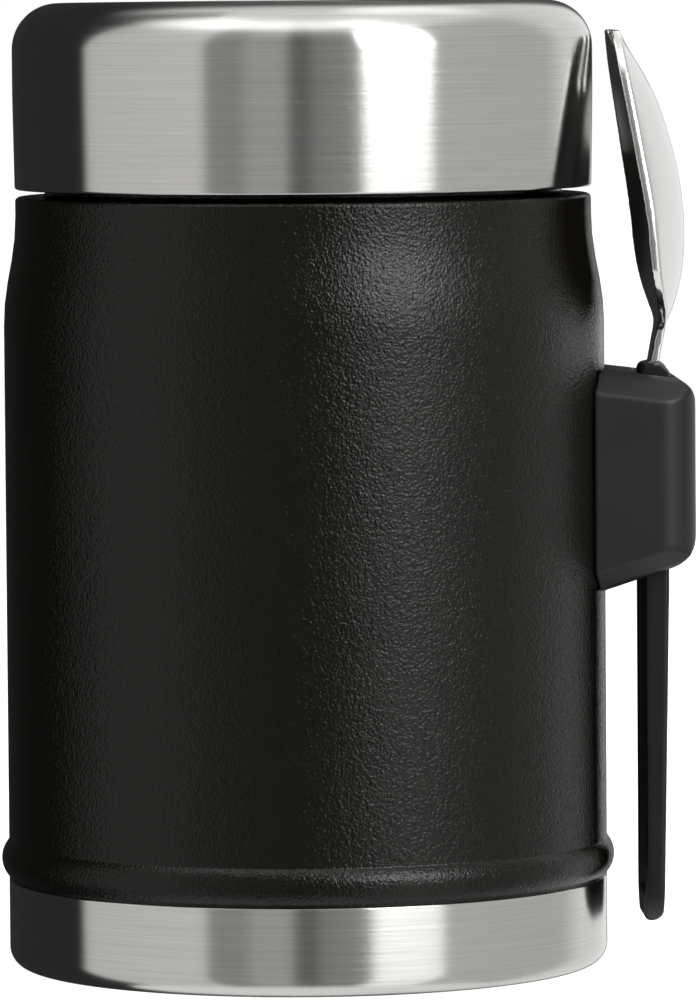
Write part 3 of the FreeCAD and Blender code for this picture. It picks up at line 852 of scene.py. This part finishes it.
class JAR_OT_holder(bpy.types.Operator):
    """Build the soft holder and its core"""

    bl_idname = "jar.holder"
    bl_label = "Holder"

    def execute(self, context):
        skin = dense_skin(merged_copy("holder_block"), *HOLDER_SKIN)
        core = merged_copy("holder_core")
        new_piece(
            "holder", skin, moulded("holder_rubber"), "jar", "holder_block")
        new_piece(
            "holder_sleeve", core, moulded("core_plastic"), "jar", "holder_core")
        return {"FINISHED"}


# Bowl of the spork from its hinge to its tip, in millimetres: rise above the hinge, then offsets
# from the hinge along X of the rim and of the back, then half width
BOWL = (
    (-1.5, -1.0, 0.4, 3.5),
    (0.0, -1.0, 0.4, 3.5),
    (1.7, -0.75, 0.65, 3.5),
    (3.6, -0.4, 1.0, 3.65),
    (5.6, 0.0, 1.4, 3.8),
    (7.0, 0.25, 1.75, 3.95),
    (8.1, 0.2, 2.2, 7.2),
    (9.3, -0.1, 2.75, 10.2),
    (11.0, -0.55, 3.3, 12.9),
    (13.0, -1.05, 3.85, 15.1),
    (15.8, -1.6, 4.35, 17.0),
    (19.8, -2.0, 4.6, 18.0),
    (23.8, -2.4, 4.45, 17.9),
    (27.8, -3.0, 4.0, 17.1),
    (31.8, -3.7, 3.2, 16.1),
    (36.8, -4.5, 1.75, 14.8),
    (41.8, -5.35, -0.05, 13.4),
    (45.8, -6.0, -2.45, 11.8),
    (48.8, -6.4, -4.35, 9.6),
    (50.3, -6.6, -5.1, 7.6),
)


def bowl_rows():
    """The bowl's stations drawn out as smooth curves: rows of rise, rim, back and half width."""
    stations = [Vector(station) for station in BOWL]
    points = [stations[0] * 2.0 - stations[1]] + stations + [stations[-1] * 2.0 - stations[-2]]
    rows = []
    for four in zip(points, points[1:], points[2:], points[3:]):
        for i in range(BOWL_STEPS):
            t = i / BOWL_STEPS
            weights = (
                (1 - t) ** 3 / 6.0, (3 * t ** 3 - 6 * t ** 2 + 4) / 6.0,
                (-3 * t ** 3 + 3 * t ** 2 + 3 * t + 1) / 6.0, t ** 3 / 6.0)
            rows.append([sum(w * point[k] for w, point in zip(weights, four)) for k in range(4)])
    rows.append(list(BOWL[-1]))
    return rows


class JAR_OT_spork(bpy.types.Operator):
    """Build the spork: head, handle, pin, washers and leaf spring"""

    bl_idname = "jar.spork"
    bl_label = "Spork"

    def execute(self, context):
        spork = context.scene.spork_settings
        mirror = mirror_steel(spork)
        drawn = drawn_steel()
        plastic = moulded("handle_plastic", spork.handle)
        skin = dense_skin(merged_copy("spork_handle"), *HANDLE_SKIN)
        new_piece("head", self.head(spork), mirror, "spork", "spork_head")
        new_piece("handle", skin, plastic, "handle", "spork_handle")
        for name, node, material, slot in (
                ("pin", "pivot_pin", mirror, "polished_steel"),
                ("washers", "pivot_washers", drawn, "drawn_steel"),
                ("leaf_spring", "detent_spring", drawn, "drawn_steel")):
            new_piece(name, merged_copy(node), material, "handle", node)
        return {"FINISHED"}

    def head(self, spork):
        """A flat blank cut to the outline, skinned finely, then pressed to the bowl's shape."""
        rows = bowl_rows()
        rises = [row[0] for row in rows]
        blank = dense_skin(self.blank(spork, rows), *HEAD_SKIN)
        half = spork.sheet / 2.0 * MM
        for vertex in blank.vertices:
            rise = vertex.co.z / MM - pivot.z
            at = min(max(bisect.bisect(rises, rise), 1), len(rows) - 1)
            low, high = rows[at - 1], rows[at]
            share = (rise - low[0]) / (high[0] - low[0])
            rim, back, half_width = [a + (b - a) * share for a, b in zip(low[1:], high[1:])]
            across = min(abs(vertex.co.y / MM) / half_width, 1.0)
            depth = max(back - rim - spork.sheet, 0.0)
            vertex.co.x += (pivot.x + rim + depth * (1.0 - across ** 2)) * MM + half
        return joined("head", blank, self.eye())

    def blank(self, spork, rows):
        """Flat blank with the outline of bowl, tines and neck, as thick as the sheet."""
        right = [(row[3], row[0] + pivot.z) for row in rows if row[0] >= BLANK_LOW]
        tip_half, tip_z = right[-1]
        outline = list(right)
        tine_width = (tip_half * 2 - spork.notch_width * (spork.tines - 1)) / spork.tines
        half = spork.notch_width / 2.0
        floor_z = tip_z - spork.notch_depth + half
        for gap in range(spork.tines - 1):
            middle = tip_half - (tine_width + spork.notch_width) * (gap + 1) + half
            outline.append((middle + half, tip_z))
            for i in range(NOTCH_STEPS + 1):
                a = math.pi * i / NOTCH_STEPS
                outline.append((middle + half * math.cos(a), floor_z - half * math.sin(a)))
            outline.append((middle - half, tip_z))
        outline += [(-y, z) for y, z in reversed(right)]
        made = bmesh.new()
        back = -spork.sheet / 2.0 * MM
        face = made.faces.new([made.verts.new((back, y * MM, z * MM)) for y, z in outline])
        grown = bmesh.ops.extrude_face_region(made, geom=[face])
        moved = [item for item in grown["geom"] if isinstance(item, bmesh.types.BMVert)]
        bmesh.ops.translate(made, verts=moved, vec=(spork.sheet * MM, 0.0, 0.0))
        bmesh.ops.triangulate(made, faces=made.faces)
        return finished_mesh("blank", made)

    def eye(self):
        """Rolled eye of the neck round the pin."""
        made = bmesh.new()
        rings = []
        for radius, y in (
                (BARREL_BORE, -BARREL_HALF), (BARREL_RADIUS, -BARREL_HALF),
                (BARREL_RADIUS, BARREL_HALF), (BARREL_BORE, BARREL_HALF)):
            ring = []
            for i in range(BARREL_STEPS):
                a = 2.0 * math.pi * i / BARREL_STEPS
                x = (pivot.x + radius * math.cos(a)) * MM
                z = (pivot.z + radius * math.sin(a)) * MM
                ring.append(made.verts.new((x, y * MM, z)))
            rings.append(ring)
        for low, high in zip(rings, rings[1:] + rings[:1]):
            for i in range(BARREL_STEPS):
                j = (i + 1) % BARREL_STEPS
                made.faces.new((low[i], low[j], high[j], high[i]))
        return finished_mesh("barrel", made)


# Tone of the ring of panels by its bearing from the camera: 0 is at the camera, positive to its
# right
RING_TONES = (
    (-180.0, 0.03), (-97.5, 0.03), (-93.5, 0.72), (-42.0, 0.75), (-38.0, 0.33), (-26.0, 0.33),
    (-22.0, 0.45), (-9.0, 0.45), (-5.0, 0.16), (0.8, 0.16), (3.0, 0.27), (20.0, 0.33),
    (26.0, 0.63), (110.0, 0.6), (125.0, 0.92), (163.0, 0.95), (167.0, 0.05), (180.0, 0.03),
)
# Strong strip and overhead light: share by bearing, share by height in metres, and tone
STRIP = ((20.5, 0.0), (24.0, 1.0), (48.5, 1.0), (52.0, 0.0))
STRIP_RISE = ((-1.2, 0.08), (0.2, 0.08), (0.32, 1.0), (0.8, 1.0), (1.0, 0.0))
STRIP_TONE = 8.5
OVERHEAD = (
    (-180.0, 0.6), (-150.0, 0.5), (-125.0, 0.0), (-115.0, 0.0), (-95.0, 0.5), (-60.0, 1.0),
    (50.0, 1.0), (60.0, 0.3), (120.0, 0.2), (150.0, 0.5), (180.0, 0.6),
)
OVERHEAD_RISE = ((1.0, 0.0), (1.4, 1.0), (3.0, 1.0))
OVERHEAD_TONE = 1.6

# Ring and floor, in metres
RING_HEIGHTS = (-1.2, 0.2, 0.32, 0.8, 1.0, 1.4, 3.0)
RING_RADIUS = 0.9
RING_FACES = 360
FLOOR_HALF = 6.0

# Camera, fitted to the jar's outline: place and lens in millimetres, turns in radians
CAMERA_PLACE = (-6.23, -1189.83, 147.61)
CAMERA_PITCH = 0.0664
CAMERA_YAW = 0.0107
CAMERA_ROLL = -0.0075
LENS_MM = 290.9
SENSOR_MM = 36.0
FAR_METRES = 50.0


def between(table, place):
    """A value at a place in a table of (place, value) rows, in straight steps."""
    for (low, first), (high, second) in zip(table, table[1:]):
        if low <= place <= high:
            return first + (second - first) * (place - low) / (high - low)
    return 0.0


def seen(tree):
    """1 on rays from the camera and on those that mirrors and glass send on, 0 on others."""
    path = add_node(tree, "ShaderNodeLightPath")
    camera, glossy, passed = [Wire(tree, path.outputs[name]) for name in (
        "Is Camera Ray", "Is Glossy Ray", "Is Transmission Ray")]
    return (camera + glossy + passed).clamped()


class JAR_OT_stage(bpy.types.Operator):
    """Build the floor, the light and the camera"""

    bl_idname = "jar.stage"
    bl_label = "Stage"

    def execute(self, context):
        studio = context.scene.studio_settings
        self.floor(studio)
        self.ring()
        self.world(context.scene, studio)
        self.camera(context.scene, studio)
        context.scene.view_settings.view_transform = "Standard"
        return {"FINISHED"}

    def stand(self, name, mesh, finish):
        """A mesh as a piece of the stage."""
        mesh.materials.append(finish.material)
        piece = bpy.data.objects.new(name, mesh)
        bpy.context.scene.collection.objects.link(piece)
        return piece

    def floor(self, studio):
        """White floor with its own light for the camera; mirrors look through it."""
        size = FLOOR_HALF
        corners = [(-size, -size, 0), (size, -size, 0), (size, size, 0), (-size, size, 0)]
        mesh = bpy.data.meshes.new("floor")
        mesh.from_pydata(corners, [], [(0, 1, 2, 3)])
        finish = Finish(
            "floor", Base_Color=studio.sweep, Roughness=0.9, Specular_IOR_Level=0.0,
            Emission_Color=(1.0, 1.0, 1.0))
        finish.set(Emission_Strength=seen(finish.tree) * studio.floor_glow)
        self.stand("floor", mesh, finish).visible_glossy = False

    def ring(self):
        """A ring of soft panels round the jar, its tone by bearing, with one strong strip."""
        verts = []
        faces = []
        tones = []
        rows = len(RING_HEIGHTS)
        for i in range(RING_FACES + 1):
            bearing = -180.0 + 360.0 * i / RING_FACES
            a = math.radians(bearing)
            for height in RING_HEIGHTS:
                verts.append((RING_RADIUS * math.sin(a), -RING_RADIUS * math.cos(a), height))
                strip = between(STRIP, bearing) * between(STRIP_RISE, height) * STRIP_TONE
                overhead = between(OVERHEAD, bearing) * between(OVERHEAD_RISE, height)
                tones.append(between(RING_TONES, bearing) + strip + overhead * OVERHEAD_TONE)
        for i in range(RING_FACES):
            for k in range(rows - 1):
                corner = i * rows + k
                faces.append((corner, corner + 1, corner + rows + 1, corner + rows))
        mesh = bpy.data.meshes.new("panels")
        mesh.from_pydata(verts, [], faces)
        tone = mesh.color_attributes.new("tone", "FLOAT_COLOR", "POINT")
        limit = max(tones)
        for spot, value in zip(tone.data, tones):
            spot.color = (value / limit, value / limit, value / limit, 1.0)
        finish = Finish(
            "panels", Base_Color=(0.0, 0.0, 0.0), Roughness=1.0, Specular_IOR_Level=0.0)
        shade = finish.node("ShaderNodeVertexColor", {"layer_name": "tone"})
        finish.set(Emission_Color=shade, Emission_Strength=limit)
        panels = self.stand("panels", mesh, finish)
        panels.visible_camera = False
        panels.visible_shadow = False

    def world(self, scene, studio):
        """White where it is seen or mirrored, and a weaker light on matt surfaces."""
        world = bpy.data.worlds.new("studio")
        world.use_nodes = True
        tree = world.node_tree
        background = tree.nodes["Background"]
        strength = seen(tree) * (1.0 - studio.fill) + studio.fill
        feed(tree, background.inputs["Color"], (1.0, 1.0, 1.0))
        feed(tree, background.inputs["Strength"], strength)
        scene.world = world

    def camera(self, scene, studio):
        """Camera at the photograph's place, turned a little about the jar."""
        pitch, yaw, roll = CAMERA_PITCH, CAMERA_YAW, CAMERA_ROLL
        forward = Vector((
            math.sin(yaw) * math.cos(pitch), math.cos(yaw) * math.cos(pitch), -math.sin(pitch)))
        right = Vector((math.cos(yaw), -math.sin(yaw), 0.0))
        up = right.cross(forward)
        rolled_right = right * math.cos(roll) + up * math.sin(roll)
        rolled_up = up * math.cos(roll) - right * math.sin(roll)
        basis = Matrix((rolled_right, rolled_up, -forward)).transposed().to_4x4()
        turn = Matrix.Rotation(studio.view_turn, 4, "Z")
        lens = bpy.data.cameras.new("camera")
        lens.sensor_fit = "AUTO"
        lens.sensor_width = SENSOR_MM
        lens.lens = LENS_MM
        lens.clip_end = FAR_METRES
        camera = bpy.data.objects.new("camera", lens)
        camera.matrix_world = turn @ Matrix.Translation(Vector(CAMERA_PLACE) * MM) @ basis
        scene.collection.objects.link(camera)
        scene.camera = camera


class JAR_PT_panel(bpy.types.Panel):
    """Lists the pieces of the jar."""

    bl_idname = "JAR_PT_panel"
    bl_label = "Food Jar"
    bl_space_type = "VIEW_3D"
    bl_region_type = "UI"
    bl_category = "Food Jar"

    def draw(self, context):
        for operator in OPERATORS:
            self.layout.operator(operator.bl_idname)


OPERATORS = (JAR_OT_wall, JAR_OT_lid, JAR_OT_holder, JAR_OT_spork, JAR_OT_stage)
SETTINGS = {
    "jar_settings": JarSettings,
    "lid_settings": LidSettings,
    "thread_settings": ThreadSettings,
    "spork_settings": SporkSettings,
    "studio_settings": StudioSettings,
}


def register():
    for group in SETTINGS.values():
        bpy.utils.register_class(group)
    for name, group in SETTINGS.items():
        setattr(bpy.types.Scene, name, bpy.props.PointerProperty(type=group))
    for operator in OPERATORS:
        bpy.utils.register_class(operator)
    bpy.utils.register_class(JAR_PT_panel)


def unregister():
    bpy.utils.unregister_class(JAR_PT_panel)
    for operator in reversed(OPERATORS):
        bpy.utils.unregister_class(operator)
    for name in SETTINGS:
        delattr(bpy.types.Scene, name)
    for group in SETTINGS.values():
        bpy.utils.unregister_class(group)


def main():
    """Register the classes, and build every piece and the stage."""
    register()
    for operator in OPERATORS:
        category, name = operator.bl_idname.split(".")
        getattr(getattr(bpy.ops, category), name)()


if __name__ == "__main__":
    main()
